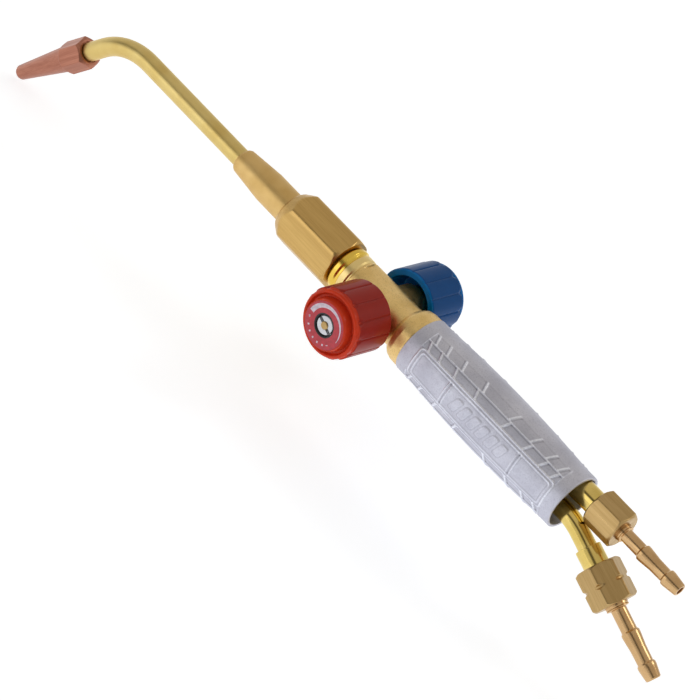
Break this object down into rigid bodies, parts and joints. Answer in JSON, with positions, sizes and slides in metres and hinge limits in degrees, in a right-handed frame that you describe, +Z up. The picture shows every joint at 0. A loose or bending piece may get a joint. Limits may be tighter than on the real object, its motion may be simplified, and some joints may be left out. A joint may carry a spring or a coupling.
{
  "type": "oxy-fuel hand torch",
  "caption": "Hand-held oxy-fuel torch: ribbed grip, two needle valves with lobed knobs, union nut, mixer, bent neck and copper tip, hose tails at the rear.",
  "frame": {"origin": "on the handle's axis, halfway along the handle", "axes": "+X along the handle towards the tip, +Y towards the fuel gas valve, +Z up; the neck bends towards -Z"},
  "size_m": [0.468, 0.087, 0.0815],
  "materials": {
    "cast_aluminium": "satin cast, lightly blasted",
    "forged_brass": "matte, sand blasted",
    "turned_brass": "satin, turned and milled",
    "drawn_brass": "satin drawn tube",
    "polished_brass": "bright turned",
    "copper": "satin machined copper",
    "red_plastic": "glossy moulded",
    "blue_plastic": "glossy moulded",
    "red_label": "printed disc",
    "blue_label": "printed disc",
    "zinc_plated_steel": "bright zinc plate",
    "black_rubber": "matte"
  },
  "bodies": {
    "torch_body": {"handle": "cast_aluminium", "valve_body": "forged_brass", "oxygen_tube": "polished_brass", "fuel_tube": "polished_brass", "oxygen_inlet": "polished_brass", "fuel_inlet": "polished_brass", "fuel_gland_nut": "turned_brass", "oxygen_gland_nut": "turned_brass"},
    "mixer_seal": {"mixer_o_ring": "black_rubber"},
    "union": {"union_nut": "turned_brass"},
    "attachment": {"mixer_head": "turned_brass", "injector": "turned_brass", "injector_o_ring": "black_rubber", "neck_tube": "drawn_brass", "welding_tip": "copper"},
    "oxygen_tail": {"oxygen_hose_tail": "turned_brass"},
    "oxygen_nut": {"oxygen_hose_nut": "turned_brass"},
    "fuel_tail": {"fuel_hose_tail": "turned_brass"},
    "fuel_nut": {"fuel_hose_nut": "turned_brass"},
    "fuel_spindle_seal": {"fuel_spindle_o_ring": "black_rubber"},
    "fuel_valve_stem": {"fuel_spindle": "turned_brass", "fuel_knob": "red_plastic", "fuel_knob_label": "red_label", "fuel_knob_nut": "zinc_plated_steel"},
    "oxygen_spindle_seal": {"oxygen_spindle_o_ring": "black_rubber"},
    "oxygen_valve_stem": {"oxygen_spindle": "turned_brass", "oxygen_knob": "blue_plastic", "oxygen_knob_label": "blue_label", "oxygen_knob_nut": "zinc_plated_steel"}
  },
  "joints": [
    {"name": "attachment_slide", "type": "slide", "parent": "torch_body", "child": "mixer_seal", "axis": [1, 0, 0], "range_m": [0, 0.006]},
    {"name": "union_nut_turn", "type": "hinge", "parent": "mixer_seal", "child": "union", "pos_m": [0.1295, 0, 0], "axis": [1, 0, 0], "range_deg": [0, 1440]},
    {"name": "neck_swivel", "type": "hinge", "parent": "mixer_seal", "child": "attachment", "pos_m": [0.1295, 0, 0], "axis": [1, 0, 0], "continuous": true},
    {"name": "oxygen_tail_slide", "type": "slide", "parent": "torch_body", "child": "oxygen_tail", "axis": [-1, 0, 0], "range_m": [0, 0.00535]},
    {"name": "oxygen_nut_turn", "type": "hinge", "parent": "oxygen_tail", "child": "oxygen_nut", "pos_m": [-0.071, -0.0029, 0.00675], "axis": [-1, 0, 0], "range_deg": [0, 1440]},
    {"name": "fuel_tail_slide", "type": "slide", "parent": "torch_body", "child": "fuel_tail", "axis": [-0.9317, 0, -0.3633], "range_m": [0, 0.00535]},
    {"name": "fuel_nut_turn", "type": "hinge", "parent": "fuel_tail", "child": "fuel_nut", "pos_m": [-0.08841, 0.0002, -0.01772], "axis": [-0.9317, 0, -0.3633], "range_deg": [-1440, 0]},
    {"name": "fuel_spindle_slide", "type": "slide", "parent": "torch_body", "child": "fuel_spindle_seal", "axis": [0, 1, 0], "range_m": [0, 0.00255]},
    {"name": "fuel_valve_turn", "type": "hinge", "parent": "fuel_spindle_seal", "child": "fuel_valve_stem", "pos_m": [0.0795, 0.02, -0.001], "axis": [0, 1, 0], "range_deg": [0, 900]},
    {"name": "oxygen_spindle_slide", "type": "slide", "parent": "torch_body", "child": "oxygen_spindle_seal", "axis": [0, -1, 0], "range_m": [0, 0.00255]},
    {"name": "oxygen_valve_turn", "type": "hinge", "parent": "oxygen_spindle_seal", "child": "oxygen_valve_stem", "pos_m": [0.0795, -0.02, -0.001], "axis": [0, -1, 0], "range_deg": [0, 900]}
  ],
  "couplings": [
    {"joint": "union_nut_turn", "follows": "attachment_slide", "rad_per_m": 4188.8},
    {"joint": "oxygen_nut_turn", "follows": "oxygen_tail_slide", "rad_per_m": 4699.5},
    {"joint": "fuel_nut_turn", "follows": "fuel_tail_slide", "rad_per_m": -4699.5},
    {"joint": "fuel_spindle_slide", "follows": "fuel_valve_turn", "m_per_rad": 0.00015915},
    {"joint": "oxygen_spindle_slide", "follows": "oxygen_valve_turn", "m_per_rad": 0.00015915}
  ]
}
